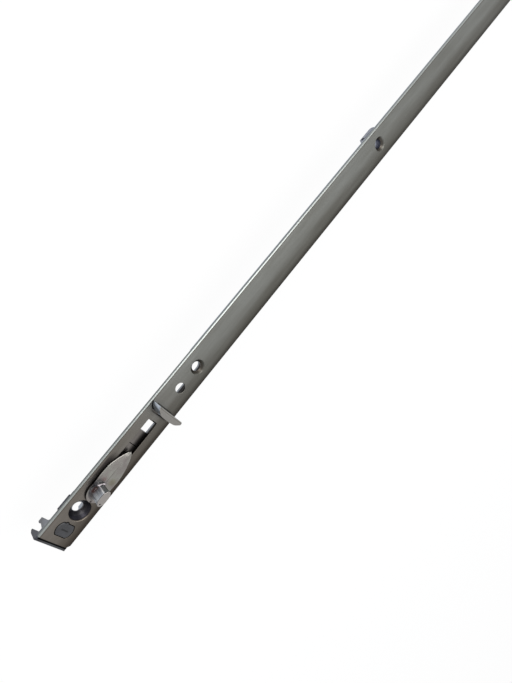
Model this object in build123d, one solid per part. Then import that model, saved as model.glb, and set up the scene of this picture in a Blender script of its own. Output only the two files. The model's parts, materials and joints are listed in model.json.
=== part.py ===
from build123d import *
import math
import os

# Window espagnolette gearbox, millimetres.
# X runs along the faceplate from its lower end, +Z is out of the sash rebate, Y is across it.
# The origin is the middle of the faceplate's lower end, on its outer face.

# Faceplate
FACE_LENGTH = 1265.0
FACE_WIDTH = 16.0
FACE_THICKNESS = 1.5
FACE_EDGE_RADIUS = 0.7
FACE_CORNER_CHAMFER = 1.3

# Handle drive
STROKE = 18.0
BACKSET = 15.0
HUB_X = 600.0
PINION_TEETH = 18
PRESSURE_ANGLE = 20.0
FLANK_STEPS = 4
ROOT_DEPTH_MODULES = 1.25
PINION_WIDTH = 7.0
HUB_JOURNAL_RADIUS = 7.5
SPINDLE_SQUARE = 7.1
MESH_BACKLASH = 0.2
RACK_SPARE_TEETH = 3

# Drive rod
ROD_THICKNESS = 2.7
ROD_WIDTH = 12.6
ROD_TAIL_WIDTH = 11.6
ROD_STEP_X = 97.0
ROD_LOWER_X = 22.5
ROD_JOINT_X = 49.4
ROD_UPPER_INSET = 41.0
ROD_SLOT_WIDTH = 5.6
ROD_WINDOW = (56.5, 62.1)
ROD_WINDOW_WIDTH = 7.4

# Clearances
SLIDE_GAP = 0.1
PASS_GAP = 0.3
RUN_GAP = 0.05
SEAT_GAP = 0.02

# Screw holes
SCREW_RADIUS = 2.3
SCREW_HEAD_RADIUS = 3.6
LOWER_SCREW_X = 93.2
SIGHT_HOLE_X = 81.1
SIGHT_HOLE_RADIUS = 2.5
LOWER_GUIDE_XS = (240.9, 430.0)
UPPER_GUIDE_SHARES = (0.24, 0.58, 0.8)

# End screw, in a dimple pressed into the faceplate
END_SCREW_INSET = 15.6
DIMPLE_RADIUS = 4.65
DIMPLE_BORE_RADIUS = 2.35
DIMPLE_DEPTH = 4.2
DIMPLE_BORE_LENGTH = 1.0
DIMPLE_WALL = 0.95

# End bracket and its button
BRACKET_WIDTH = 14.8
BRACKET_THICKNESS = 1.1
BRACKET_WALL = 1.2
BRACKET_REACH = 2.55
BRACKET_PAST_SCREW = 5.2
BRACKET_LIP = 1.6
BRACKET_FLANGE = 0.9
BRACKET_RIB = (-4.3, 3.0, 1.0, 1.9)
CLAW_SPAN = 15.8
CLAW_THICKNESS = 1.0
CLAW_REACH = 9.15
CLAW_OUTLINES = (
    [(0, 0), (3.75, 0), (1.25, 6.0), (0.6, 6.0), (0, 4.6)],
    [(4.75, 0), (CLAW_REACH, 0), (6.95, 6.0), (4.95, 6.0), (4.75, 4.9), (5.45, 3.7)],
)
BUTTON_INSET = 6.0
BUTTON_RADIUS = 3.95
BUTTON_FLAT_HALF = 2.95
BUTTON_SHANK_RADIUS = 2.4
BUTTON_FLANGE_RADIUS = 3.3
BUTTON_FLANGE = 0.8
BUTTON_BEVEL = 0.3
BUTTON_KEY = 0.9
BUTTON_KEY_Y = 1.0
BUTTON_MARK = (0.6, 3.4, 0.35)
BUTTON_PROUD = 0.3
BUTTON_GAP = 0.2

# Leaf-shaped shoe and the adjustable oval cam
LINE_Y = 0.1
CAM_X = 26.3
CAM_TOP = 7.7
CAM_LENGTH = 7.3
CAM_WIDTH = 3.5
CAM_CAP = 1.1
CAM_CAP_BEVEL = 0.25
CAM_SHANK_INSET = (0.25, 0.1)
CAM_SHANK_CORNER = (1.38, 1.05)
CAM_MARK = (1.15, 0.35, 0.3)
CAM_SPIGOT_RADIUS = 1.8
CAM_SPIGOT_DEPTH = 1.3
SHOE_LIFT = 0.1
SHOE_EDGE = 1.15
SHOE_RIDGE = 1.55
SHOE_END_OFFSET = -0.9
SHOE_END_RADIUS = 5.05
SHOE_HALF_WIDTH = 5.05
SHOE_NECK_OFFSET = 3.0
SHOE_NECK_HALF = 4.85
SHOE_WIDE_OFFSET = 7.0
SHOE_BELLY_OFFSET = 13.7
SHOE_BELLY_HALF = 3.8
SHOE_TIP_X = 46.8
SHOE_TIP_HALF = 0.9
SHOE_TIP_DEPTH = 0.5
SHOE_WELL_RADIUS = 3.6
SHOE_WELL_FLOOR = 0.9
KEY_START_X = 24.0
KEY_END_X = 44.5
KEY_WIDTH = 5.0
SLOT_WIDTH = 5.3
SLOT_CORNER = 0.6
SLOT_END_GAP = 0.2
SHOE_RIVET_XS = (33.5, 41.0)
SHOE_RIVET_RADIUS = 1.25

# Middle lock
MID_CAM_SHARE = 0.42
MID_SHOE_HALF_LENGTH = 9.0
MID_SHOE_TOP = 1.55
MID_SHOE_BEVEL = 0.5
MID_KEY_HALF_LENGTH = 8.4
MID_RIVET_OFFSET = 6.2

# Lift lug, a blade with a straight side, a pointed end and a blunt end; its outline is (depth, y)
LUG_X = 69.7
LUG_OUTLINE = ((0, 7.1), (1.35, 6.3), (2.35, 5.25), (3.05, 4.0), (3.25, 1.8), (3.25, -0.8), (3.15, -2.8),
               (2.85, -4.7), (2.0, -6.3), (1.3, -7.3))
LUG_TONGUE_Y = -6.6
LUG_HEIGHT = 7.4
LUG_BEVEL = 0.5
LUG_WINDOW_GROWTH = (1.2, 1.09)

# Guide blocks
GUIDE_LENGTH = 10.5
GUIDE_WIDTH = 12.6
GUIDE_DEPTH = 2.1
GUIDE_BOSS_RADIUS = 3.2
GUIDE_ROUNDS = (0.6, 1.9)
GUIDE_NOTCH_X = (0.5, 2.3)
GUIDE_NOTCH_DEPTH = 1.4
GUIDE_NOTCH_Z = (0.6, 1.7)

# Coupling rails
RAIL_WIDTH = 8.8
RAIL_THICKNESS = 2.5
RAIL_LOWER_END = 1.0
RAIL_UPPER_INSET = 20.0
RAIL_PAST_JOINT = 6.1
RAIL_OVERLAP = 34.0
RAIL_TOOTH_PITCH = 4.5
RAIL_TOOTH_DEPTH = 1.2
RAIL_TOOTH_HALVES = (1.2, 0.7)
RAIL_FIRST_TOOTH = 0.75
RAIL_TOOTH_COUNT = 4
RAIL_RIVET_RADIUS = 1.25
LOWER_RIVET_OFFSETS = (-22.0, 3.4)
UPPER_RIVET_OFFSETS = (-26.0, -8.0)

# Gear case
CASE_HALF_LENGTH = 60.0
CASE_HALF_WIDTH = 5.8
CASE_PLATE = 1.8
CASE_BOTTOM = 28.4
CASE_CORNER = 7.0
CASE_TOP_CORNER = 1.5
HANDLE_SCREW_PITCH = 43.0
HANDLE_HOLE_RADIUS = 5.1
SLEEVE_WALL = 1.3
STUD_INSET = 8.0
STUD_RADIUS = 2.45
STUD_HEAD_RADIUS = 3.7
BLOCK_HALF_LENGTH = 7.8
BLOCK_DEPTH = 9.5
CASE_RIVET_RADIUS = 1.5
CASE_RIVET_HEAD_RADIUS = 2.7
CASE_RIVET_HEAD = 0.8
CASE_RIVET_ROUND = 0.5
CASE_RIVET_OFFSET = 5.0
CASE_RIVET_Z = -10.5
PILLAR_OFFSET = 24.0
PILLAR_Z = -24.6
PILLAR_RADIUS = 2.4

# Worked out from the values above
FACE_UNDER = -FACE_THICKNESS
ROD_TOP = FACE_UNDER - SLIDE_GAP
ROD_BOTTOM = ROD_TOP - ROD_THICKNESS
UNDER_ROD = ROD_BOTTOM - PASS_GAP
CASE_CAVITY_HALF = CASE_HALF_WIDTH - CASE_PLATE
PINION_RADIUS = 2 * STROKE / math.pi
PINION_MODULE = 2 * PINION_RADIUS / PINION_TEETH
TOOTH_PITCH = math.pi * PINION_MODULE
SLOT_START_X = KEY_START_X - SLOT_END_GAP
SLOT_END_X = KEY_END_X + STROKE + SLOT_END_GAP
CAM_FLOOR = SHOE_WELL_FLOOR + RUN_GAP
STUD_OFFSET = CASE_HALF_LENGTH - STUD_INSET
UPPER_LENGTH = FACE_LENGTH - HUB_X
MID_CAM_X = HUB_X + MID_CAM_SHARE * UPPER_LENGTH
GUIDE_XS = (*LOWER_GUIDE_XS, *(HUB_X + share * UPPER_LENGTH for share in UPPER_GUIDE_SHARES))
ROD_UPPER_X = FACE_LENGTH - ROD_UPPER_INSET
RAIL_LOWER = (RAIL_LOWER_END, ROD_JOINT_X + RAIL_PAST_JOINT)
RAIL_UPPER = (ROD_UPPER_X - RAIL_OVERLAP, FACE_LENGTH - RAIL_UPPER_INSET)
LOWER_RAIL_RIVETS = tuple(ROD_JOINT_X + offset for offset in LOWER_RIVET_OFFSETS)
UPPER_RAIL_RIVETS = tuple(ROD_UPPER_X + offset for offset in UPPER_RIVET_OFFSETS)


def block(x0, x1, y0, y1, z0, z1):
    """A box between two corners."""
    size = (x1 - x0, y1 - y0, z1 - z0)
    centre = ((x0 + x1) / 2, (y0 + y1) / 2, (z0 + z1) / 2)
    return Pos(*centre) * Box(*size)


def post(x, y, z0, z1, radius):
    """An upright cylinder."""
    return Pos(x, y, (z0 + z1) / 2) * Cylinder(radius, z1 - z0)


def cross_post(x, z, y0, y1, radius):
    """A cylinder along Y."""
    return Pos(x, (y0 + y1) / 2, z) * Rot(X=90) * Cylinder(radius, y1 - y0)


def funnel(x, y, z0, z1, r0, r1):
    """An upright cone from radius r0 at z0 to r1 at z1."""
    return Pos(x, y, (z0 + z1) / 2) * Cone(r0, r1, z1 - z0)


def slot_block(x0, x1, y, width, z0, z1):
    """A slot along X with round ends, from end to end."""
    plan = Pos((x0 + x1) / 2, y) * SlotOverall(x1 - x0, width)
    return Pos(0, 0, z0) * extrude(plan, z1 - z0)


def side_prism(points, y0, y1):
    """A polygon of (x, z) points carried along Y."""
    outline = Polyline([(x, y0, z) for x, z in points], close=True)
    return extrude(make_face(outline), amount=y1 - y0, dir=(0, 1, 0))


def mirror_end(shape):
    """The same piece at the faceplate's other end."""
    return mirror(shape, Plane.YZ.offset(FACE_LENGTH / 2))


# Faceplate


def lug_plan(growth=(1, 1)):
    """The blade from above: a straight side at LUG_X and a full curve towards -X."""
    curve = [(LUG_X - depth * growth[0], y * growth[1]) for depth, y in LUG_OUTLINE]
    corner = (LUG_X, curve[-1][1])
    return make_face(Wire([Spline(curve), Line(curve[-1], corner), Line(corner, curve[0])]))


def cut_below(shape, y):
    """What is left of an upright shape about the lug on the +Y side of y."""
    low = y - FACE_WIDTH
    return shape - block(LUG_X - FACE_WIDTH, LUG_X + FACE_WIDTH, low, y, FACE_UNDER, LUG_HEIGHT)


def lug_tongue():
    """The part of the blade that passes through the faceplate."""
    tongue = Pos(0, 0, FACE_UNDER) * extrude(lug_plan(), FACE_THICKNESS)
    return cut_below(tongue, LUG_TONGUE_Y)


def lug_window():
    window = Pos(0, 0, FACE_UNDER) * extrude(lug_plan(LUG_WINDOW_GROWTH), FACE_THICKNESS)
    return cut_below(window, LUG_TONGUE_Y * LUG_WINDOW_GROWTH[1])


def button_plan(gap):
    """A disc with two flats, and the small key that stops it turning."""
    disc = Circle(BUTTON_RADIUS + gap)
    flats = Rectangle(2 * (BUTTON_FLAT_HALF + gap), 3 * BUTTON_RADIUS)
    key = Pos(BUTTON_FLAT_HALF + gap, BUTTON_KEY_Y) * Rectangle(BUTTON_KEY, BUTTON_KEY)
    return Pos(BUTTON_INSET, 0) * ((disc & flats) + key)


def dimple_outside():
    cone_length = DIMPLE_DEPTH - DIMPLE_BORE_LENGTH
    rim = DIMPLE_RADIUS + DIMPLE_WALL
    throat = DIMPLE_BORE_RADIUS + DIMPLE_WALL
    slope = (rim - throat) / cone_length
    at_face = rim - slope * FACE_THICKNESS / 2
    cone = funnel(END_SCREW_INSET, 0, -cone_length, -FACE_THICKNESS / 2, throat, at_face)
    return cone + post(END_SCREW_INSET, 0, -DIMPLE_DEPTH, -cone_length, throat)


def dimple_inside():
    cone_length = DIMPLE_DEPTH - DIMPLE_BORE_LENGTH
    cone = funnel(END_SCREW_INSET, 0, -cone_length, 0, DIMPLE_BORE_RADIUS, DIMPLE_RADIUS)
    return cone + post(END_SCREW_INSET, 0, -DIMPLE_DEPTH, -cone_length, DIMPLE_BORE_RADIUS)


def countersink(x, radius, head_radius, z_end):
    """A screw hole whose head cone starts at the outer face."""
    depth = head_radius - radius
    return funnel(x, 0, -depth, 0, radius, head_radius) + post(x, 0, z_end, -depth, radius)


def make_faceplate():
    plate = block(0, FACE_LENGTH, -FACE_WIDTH / 2, FACE_WIDTH / 2, FACE_UNDER, 0)
    corners = plate.edges().filter_by(Axis.Z).group_by(Axis.Y)[0]
    plate = chamfer(corners, FACE_CORNER_CHAMFER)
    long_edges = plate.edges().filter_by(Axis.X).group_by(Axis.Z)[-1]
    plate = fillet(long_edges, FACE_EDGE_RADIUS)
    for place in (lambda shape: shape, mirror_end):
        plate += place(dimple_outside())
        plate -= place(dimple_inside())
        plate -= place(Pos(0, 0, FACE_UNDER) * extrude(button_plan(BUTTON_GAP), FACE_THICKNESS))
    plate -= cam_slot(SLOT_START_X, SLOT_END_X)
    plate -= cam_slot(*mid_slot_ends())
    plate -= lug_window()
    plate -= post(SIGHT_HOLE_X, 0, FACE_UNDER, 0, SIGHT_HOLE_RADIUS)
    for x in (LOWER_SCREW_X, *GUIDE_XS):
        plate -= countersink(x, SCREW_RADIUS, SCREW_HEAD_RADIUS, FACE_UNDER)
    for x in stud_xs():
        plate -= countersink(x, STUD_RADIUS + SEAT_GAP, STUD_HEAD_RADIUS + SEAT_GAP, FACE_UNDER)
    return plate


def cam_slot(x0, x1):
    slot = block(x0, x1, LINE_Y - SLOT_WIDTH / 2, LINE_Y + SLOT_WIDTH / 2, FACE_UNDER, 0)
    return fillet(slot.edges().filter_by(Axis.Z), SLOT_CORNER)


def mid_slot_ends():
    reach = MID_KEY_HALF_LENGTH + SLOT_END_GAP
    return (MID_CAM_X - reach, MID_CAM_X + reach + STROKE)


def stud_xs():
    return (HUB_X - STUD_OFFSET, HUB_X + STUD_OFFSET)


# End bracket


def make_end_bracket():
    top = FACE_UNDER
    low = top - BRACKET_THICKNESS
    half = BRACKET_WIDTH / 2
    claw_half = CLAW_SPAN / 2
    wall_end = BRACKET_WALL - BRACKET_REACH
    rib_start, rib_end, rib_width, rib_depth = BRACKET_RIB
    plate = block(-BRACKET_REACH, END_SCREW_INSET + BRACKET_PAST_SCREW, -half, half, low, top)
    plate += block(-BRACKET_REACH, wall_end, -claw_half, claw_half, low - BRACKET_LIP, top)
    for side in (-1, 1):
        y0, y1 = sorted((side * (claw_half - CLAW_THICKNESS), side * claw_half))
        for claw in CLAW_OUTLINES:
            plate += side_prism([(x - BRACKET_REACH, top - drop) for x, drop in claw], y0, y1)
        plate += block(-BRACKET_REACH, CLAW_REACH - BRACKET_REACH, y0, y1, top - BRACKET_FLANGE, top)
        y0, y1 = sorted((side * (half - rib_width), side * half))
        x0, x1 = END_SCREW_INSET + rib_start, END_SCREW_INSET + rib_end
        plate += block(x0, x1, y0, y1, top - rib_depth, top)
    hole_radius = DIMPLE_RADIUS + DIMPLE_WALL + PASS_GAP
    plate -= post(END_SCREW_INSET, 0, low, top, hole_radius)
    plate -= post(BUTTON_INSET, 0, low, top, BUTTON_SHANK_RADIUS + SEAT_GAP)
    return plate


def make_end_button():
    head = Pos(0, 0, FACE_UNDER) * extrude(button_plan(0), FACE_THICKNESS + BUTTON_PROUD)
    rim = head.edges().group_by(Axis.Z)[-1]
    head = chamfer(rim, BUTTON_BEVEL)
    under = FACE_UNDER - BRACKET_THICKNESS
    head += post(BUTTON_INSET, 0, under, FACE_UNDER, BUTTON_SHANK_RADIUS)
    head += post(BUTTON_INSET, 0, under - BUTTON_FLANGE, under, BUTTON_FLANGE_RADIUS)
    width, length, depth = BUTTON_MARK
    x0, x1 = BUTTON_INSET - width / 2, BUTTON_INSET + width / 2
    mark = block(x0, x1, -length / 2, length / 2, BUTTON_PROUD - depth, BUTTON_PROUD)
    return head - mark


# Lift lug


def make_lift_lug():
    blade = extrude(lug_plan(), LUG_HEIGHT)
    bevel = blade.edges().filter_by(Axis.Y).group_by(Axis.Z)[-1]
    blade = chamfer(bevel, LUG_BEVEL)
    return blade + lug_tongue()


# Cam and shoe


def leaf_plan():
    """The shoe from above: a round end about the cam and a leaf that narrows to its tip."""
    end = Pos(CAM_X + SHOE_END_OFFSET, LINE_Y) * Circle(SHOE_END_RADIUS)
    sides = []
    for side in (1, -1):
        start = (CAM_X + SHOE_END_OFFSET, LINE_Y + side * SHOE_END_RADIUS)
        a = (CAM_X + SHOE_NECK_OFFSET, LINE_Y + side * SHOE_NECK_HALF)
        b = (CAM_X + SHOE_WIDE_OFFSET, LINE_Y + side * SHOE_HALF_WIDTH)
        c = (CAM_X + SHOE_BELLY_OFFSET, LINE_Y + side * SHOE_BELLY_HALF)
        d = (SHOE_TIP_X - SHOE_TIP_DEPTH, LINE_Y + side * SHOE_TIP_HALF)
        sides.append((start, a, b, c, d))
    (s1, a1, b1, c1, d1), (s2, a2, b2, c2, d2) = sides
    outline = Line(s2, s1) + Line(s1, a1) + Line(a1, b1) + ThreePointArc(b1, c1, d1)
    outline += ThreePointArc(d1, (SHOE_TIP_X, LINE_Y), d2)
    outline += ThreePointArc(d2, c2, b2) + Line(b2, a2) + Line(a2, s2)
    return end + make_face(outline)


def roof(x0, x1, half_width, edge, ridge, base):
    """A bar along X whose top falls from a ridge to both sides."""
    y0, y1 = LINE_Y - half_width, LINE_Y + half_width
    points = [(y0, base), (y1, base), (y1, edge), (LINE_Y, ridge), (y0, edge)]
    outline = Polyline([(x0, y, z) for y, z in points], close=True)
    return extrude(make_face(outline), amount=x1 - x0, dir=(1, 0, 0))


def make_cam_shoe():
    body = Pos(0, 0, SHOE_LIFT) * extrude(leaf_plan(), SHOE_RIDGE + 1)
    left = CAM_X + SHOE_END_OFFSET - SHOE_END_RADIUS - 1
    body &= roof(left, SHOE_TIP_X + 1, SHOE_HALF_WIDTH + 1, SHOE_EDGE, SHOE_RIDGE, SHOE_LIFT)
    body -= post(CAM_X, LINE_Y, SHOE_WELL_FLOOR, SHOE_RIDGE + 1, SHOE_WELL_RADIUS)
    key_half = KEY_WIDTH / 2
    body += block(KEY_START_X, KEY_END_X, LINE_Y - key_half, LINE_Y + key_half, ROD_TOP, SHOE_LIFT)
    body -= cam_socket(CAM_X)
    for x in SHOE_RIVET_XS:
        body -= post(x, LINE_Y, ROD_TOP, SHOE_WELL_FLOOR, SHOE_RIVET_RADIUS + SEAT_GAP)
    return body


def cam_socket(x):
    bottom = SHOE_WELL_FLOOR - CAM_SPIGOT_DEPTH - RUN_GAP
    return post(x, LINE_Y, bottom, SHOE_WELL_FLOOR, CAM_SPIGOT_RADIUS + RUN_GAP)


def make_cam(x):
    """An oval cam: a faceted shank for a spanner under an oval cap."""
    half_length, half_width = CAM_LENGTH / 2, CAM_WIDTH / 2
    x_flat, y_flat = half_length - CAM_SHANK_INSET[0], half_width - CAM_SHANK_INSET[1]
    x_cut, y_cut = CAM_SHANK_CORNER
    points = []
    for sx, sy in ((1, 1), (-1, 1), (-1, -1), (1, -1)):
        near_side = (sx * x_flat, sy * (y_flat - y_cut))
        near_end = (sx * (x_flat - x_cut), sy * y_flat)
        points += [near_side, near_end] if sx == sy else [near_end, near_side]
    shank = extrude(make_face(Polyline(points, close=True)), CAM_TOP - CAM_CAP - CAM_FLOOR)
    cam = Pos(x, LINE_Y, CAM_FLOOR) * shank
    cap = Pos(x, LINE_Y, CAM_TOP - CAM_CAP) * extrude(Ellipse(half_length, half_width), CAM_CAP)
    cap = chamfer(cap.edges().group_by(Axis.Z)[-1], CAM_CAP_BEVEL)
    cam += cap
    cam += post(x, LINE_Y, SHOE_WELL_FLOOR - CAM_SPIGOT_DEPTH, CAM_FLOOR, CAM_SPIGOT_RADIUS)
    mark_inset, mark_radius, mark_depth = CAM_MARK
    mark_x = x - half_length + mark_inset
    return cam - post(mark_x, LINE_Y, CAM_TOP - mark_depth, CAM_TOP, mark_radius)


def make_shoe_rivets():
    pins = [post(x, LINE_Y, ROD_BOTTOM, SHOE_WELL_FLOOR, SHOE_RIVET_RADIUS) for x in SHOE_RIVET_XS]
    pins += [post(x, LINE_Y, ROD_BOTTOM, MID_SHOE_TOP, SHOE_RIVET_RADIUS) for x in mid_rivet_xs()]
    return Compound(children=pins)


def mid_rivet_xs():
    return (MID_CAM_X - MID_RIVET_OFFSET, MID_CAM_X + MID_RIVET_OFFSET)


def make_mid_shoe():
    x0, x1 = MID_CAM_X - MID_SHOE_HALF_LENGTH, MID_CAM_X + MID_SHOE_HALF_LENGTH
    body = slot_block(x0, x1, LINE_Y, 2 * SHOE_HALF_WIDTH, SHOE_LIFT, MID_SHOE_TOP)
    body = chamfer(body.edges().group_by(Axis.Z)[-1], MID_SHOE_BEVEL)
    body -= post(MID_CAM_X, LINE_Y, SHOE_WELL_FLOOR, MID_SHOE_TOP, SHOE_WELL_RADIUS)
    y0, y1 = LINE_Y - KEY_WIDTH / 2, LINE_Y + KEY_WIDTH / 2
    x0, x1 = MID_CAM_X - MID_KEY_HALF_LENGTH, MID_CAM_X + MID_KEY_HALF_LENGTH
    body += block(x0, x1, y0, y1, ROD_TOP, SHOE_LIFT)
    for x in mid_rivet_xs():
        body -= post(x, LINE_Y, ROD_TOP, MID_SHOE_TOP, SHOE_RIVET_RADIUS + SEAT_GAP)
    return body - cam_socket(MID_CAM_X)


# Drive rod


def travel_slot(x, radius):
    """The slot that lets the rod pass a fixed post over the whole stroke."""
    width = 2 * (radius + PASS_GAP)
    return slot_block(x - radius - PASS_GAP - STROKE, x + radius + PASS_GAP, 0, width, ROD_BOTTOM, ROD_TOP)


def rack_space(x):
    """The gap between two rack teeth, cut right through the rod."""
    pitch_z = PINION_RADIUS - BACKSET
    slope = math.tan(math.radians(PRESSURE_ANGLE))
    half = TOOTH_PITCH / 4 + MESH_BACKLASH / 2
    low = half + (pitch_z - ROD_BOTTOM) * slope
    high = half - (ROD_TOP - pitch_z) * slope
    points = [(x - low, ROD_BOTTOM), (x + low, ROD_BOTTOM), (x + high, ROD_TOP), (x - high, ROD_TOP)]
    half_width = PINION_WIDTH / 2 + PASS_GAP
    return side_prism(points, -half_width, half_width)


def make_drive_rod():
    half, tail_half = ROD_WIDTH / 2, ROD_TAIL_WIDTH / 2
    rod = block(ROD_STEP_X, ROD_UPPER_X, -half, half, ROD_BOTTOM, ROD_TOP)
    rod += block(ROD_JOINT_X, ROD_STEP_X, -tail_half, tail_half, ROD_BOTTOM, ROD_TOP)
    window_half = ROD_WINDOW_WIDTH / 2
    rod -= block(*ROD_WINDOW, LINE_Y - window_half, LINE_Y + window_half, ROD_BOTTOM, ROD_TOP)
    rod -= travel_slot(LOWER_SCREW_X, SCREW_RADIUS)
    for x in GUIDE_XS:
        rod -= travel_slot(x, GUIDE_BOSS_RADIUS)
    for x in stud_xs():
        rod -= travel_slot(x, STUD_RADIUS)
    first = -math.ceil(STROKE / TOOTH_PITCH) - RACK_SPARE_TEETH
    for k in range(first, RACK_SPARE_TEETH + 1):
        rod -= rack_space(HUB_X + k * TOOTH_PITCH)
    for x in (LOWER_RAIL_RIVETS[1], *UPPER_RAIL_RIVETS):
        rod -= post(x, 0, ROD_BOTTOM, ROD_TOP, RAIL_RIVET_RADIUS + SEAT_GAP)
    for x in mid_rivet_xs():
        rod -= post(x, LINE_Y, ROD_BOTTOM, ROD_TOP, SHOE_RIVET_RADIUS + SEAT_GAP)
    return rod


def make_rod_tail():
    half = ROD_TAIL_WIDTH / 2
    tail = block(ROD_LOWER_X, ROD_JOINT_X, -half, half, ROD_BOTTOM, ROD_TOP)
    tail -= post(LOWER_RAIL_RIVETS[0], 0, ROD_BOTTOM, ROD_TOP, RAIL_RIVET_RADIUS + SEAT_GAP)
    for x in SHOE_RIVET_XS:
        tail -= post(x, LINE_Y, ROD_BOTTOM, ROD_TOP, SHOE_RIVET_RADIUS + SEAT_GAP)
    return tail


# Coupling rails


def make_rail(span, rod_end, toothed_end, fork_end, rivets):
    """A bar under the rod; past the rod's end it steps down, forks about the end screw and carries teeth."""
    half = RAIL_WIDTH / 2
    low = ROD_BOTTOM - RAIL_THICKNESS
    rail = block(*span, -half, half, low, ROD_BOTTOM)
    sign = 1 if toothed_end > rod_end else -1
    rail -= block(*sorted((rod_end, toothed_end)), -half, half, UNDER_ROD, ROD_BOTTOM)
    wide, narrow = RAIL_TOOTH_HALVES
    top = low + RAIL_TOOTH_DEPTH
    for i in range(RAIL_TOOTH_COUNT):
        x = toothed_end - sign * (i + RAIL_FIRST_TOOTH) * RAIL_TOOTH_PITCH
        notch = [(x - wide, low), (x + wide, low), (x + narrow, top), (x - narrow, top)]
        rail -= side_prism(notch, -half, half)
    fork_half = DIMPLE_BORE_RADIUS + PASS_GAP
    past_end = toothed_end + sign * fork_half
    rail -= slot_block(*sorted((fork_end, past_end)), 0, 2 * fork_half, low, ROD_BOTTOM)
    for x in rivets:
        rail -= post(x, 0, low, ROD_BOTTOM, RAIL_RIVET_RADIUS + SEAT_GAP)
    return rail


def make_lower_rail():
    fork_end = END_SCREW_INSET + DIMPLE_BORE_RADIUS + PASS_GAP
    return make_rail(RAIL_LOWER, ROD_LOWER_X, RAIL_LOWER[0], fork_end, LOWER_RAIL_RIVETS)


def make_upper_rail():
    fork_end = FACE_LENGTH - END_SCREW_INSET - STROKE - DIMPLE_BORE_RADIUS - PASS_GAP
    return make_rail(RAIL_UPPER, ROD_UPPER_X, RAIL_UPPER[1], fork_end, UPPER_RAIL_RIVETS)


def make_rail_rivets():
    low = ROD_BOTTOM - RAIL_THICKNESS
    xs = (*LOWER_RAIL_RIVETS, *UPPER_RAIL_RIVETS)
    return Compound(children=[post(x, 0, low, ROD_TOP, RAIL_RIVET_RADIUS) for x in xs])


# Guide blocks


def make_guide_block(x):
    half_length, half_width = GUIDE_LENGTH / 2, GUIDE_WIDTH / 2
    low = UNDER_ROD - GUIDE_DEPTH
    body = block(x - half_length, x + half_length, -half_width, half_width, low, UNDER_ROD)
    for place, radius in zip((0, -1), GUIDE_ROUNDS):
        ends = body.edges().filter_by(Axis.Y).group_by(Axis.Z)[0]
        body = fillet(ends.sort_by(Axis.X)[place], radius)
    body += post(x, 0, UNDER_ROD, FACE_UNDER, GUIDE_BOSS_RADIUS)
    x0, x1 = (x - half_length + inset for inset in GUIDE_NOTCH_X)
    z0, z1 = (low + rise for rise in GUIDE_NOTCH_Z)
    for side in (-1, 1):
        y0, y1 = sorted((side * (half_width - GUIDE_NOTCH_DEPTH), side * half_width))
        body -= block(x0, x1, y0, y1, z0, z1)
    return body - post(x, 0, low, FACE_UNDER, SCREW_RADIUS)


# Gear case


def make_case_plate(side):
    y0, y1 = sorted((side * CASE_CAVITY_HALF, side * CASE_HALF_WIDTH))
    x0, x1 = HUB_X - CASE_HALF_LENGTH, HUB_X + CASE_HALF_LENGTH
    plate = block(x0, x1, y0, y1, -CASE_BOTTOM, UNDER_ROD)
    corners = plate.edges().filter_by(Axis.Y).group_by(Axis.Z)
    plate = fillet(corners[0], CASE_CORNER)
    plate = fillet(plate.edges().filter_by(Axis.Y).group_by(Axis.Z)[-1], CASE_TOP_CORNER)
    plate -= cross_post(HUB_X, -BACKSET, y0, y1, HUB_JOURNAL_RADIUS + RUN_GAP)
    for x in handle_screw_xs():
        plate -= cross_post(x, -BACKSET, y0, y1, HANDLE_HOLE_RADIUS)
    for x, z in case_rivet_places() + pillar_places():
        plate -= cross_post(x, z, y0, y1, CASE_RIVET_RADIUS + SEAT_GAP)
    return plate


def handle_screw_xs():
    return (HUB_X - HANDLE_SCREW_PITCH / 2, HUB_X + HANDLE_SCREW_PITCH / 2)


def case_rivet_places():
    return [(x + s * CASE_RIVET_OFFSET, CASE_RIVET_Z) for x in stud_xs() for s in (-1, 1)]


def pillar_places():
    return [(HUB_X + s * PILLAR_OFFSET, PILLAR_Z) for s in (-1, 1)]


def make_case_block(x):
    body = block(x - BLOCK_HALF_LENGTH, x + BLOCK_HALF_LENGTH, -CASE_CAVITY_HALF, CASE_CAVITY_HALF,
                 UNDER_ROD - BLOCK_DEPTH, UNDER_ROD)
    body -= post(x, 0, UNDER_ROD - BLOCK_DEPTH, UNDER_ROD, STUD_RADIUS + SEAT_GAP)
    for s in (-1, 1):
        body -= cross_post(x + s * CASE_RIVET_OFFSET, CASE_RIVET_Z, -CASE_CAVITY_HALF, CASE_CAVITY_HALF,
                           CASE_RIVET_RADIUS + SEAT_GAP)
    return body


def make_face_studs():
    """Countersunk studs that hang the gear case on the faceplate."""
    depth = STUD_HEAD_RADIUS - STUD_RADIUS
    studs = []
    for x in stud_xs():
        stud = post(x, 0, UNDER_ROD - BLOCK_DEPTH, -depth, STUD_RADIUS)
        studs.append(stud + funnel(x, 0, -depth, 0, STUD_RADIUS, STUD_HEAD_RADIUS))
    return Compound(children=studs)


def make_handle_sleeve(x):
    outer = cross_post(x, -BACKSET, -CASE_CAVITY_HALF, CASE_CAVITY_HALF, HANDLE_HOLE_RADIUS + SLEEVE_WALL)
    return outer - cross_post(x, -BACKSET, -CASE_CAVITY_HALF, CASE_CAVITY_HALF, HANDLE_HOLE_RADIUS)


def rivet(x, z):
    """A rivet along Y with a head on each side plate."""
    body = cross_post(x, z, -CASE_HALF_WIDTH, CASE_HALF_WIDTH, CASE_RIVET_RADIUS)
    for side in (-1, 1):
        y0, y1 = sorted((side * CASE_HALF_WIDTH, side * (CASE_HALF_WIDTH + CASE_RIVET_HEAD)))
        head = cross_post(x, z, y0, y1, CASE_RIVET_HEAD_RADIUS)
        rim = head.edges().group_by(Axis.Y)[-1 if side > 0 else 0]
        body += fillet(rim, CASE_RIVET_ROUND)
    return body


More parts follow.
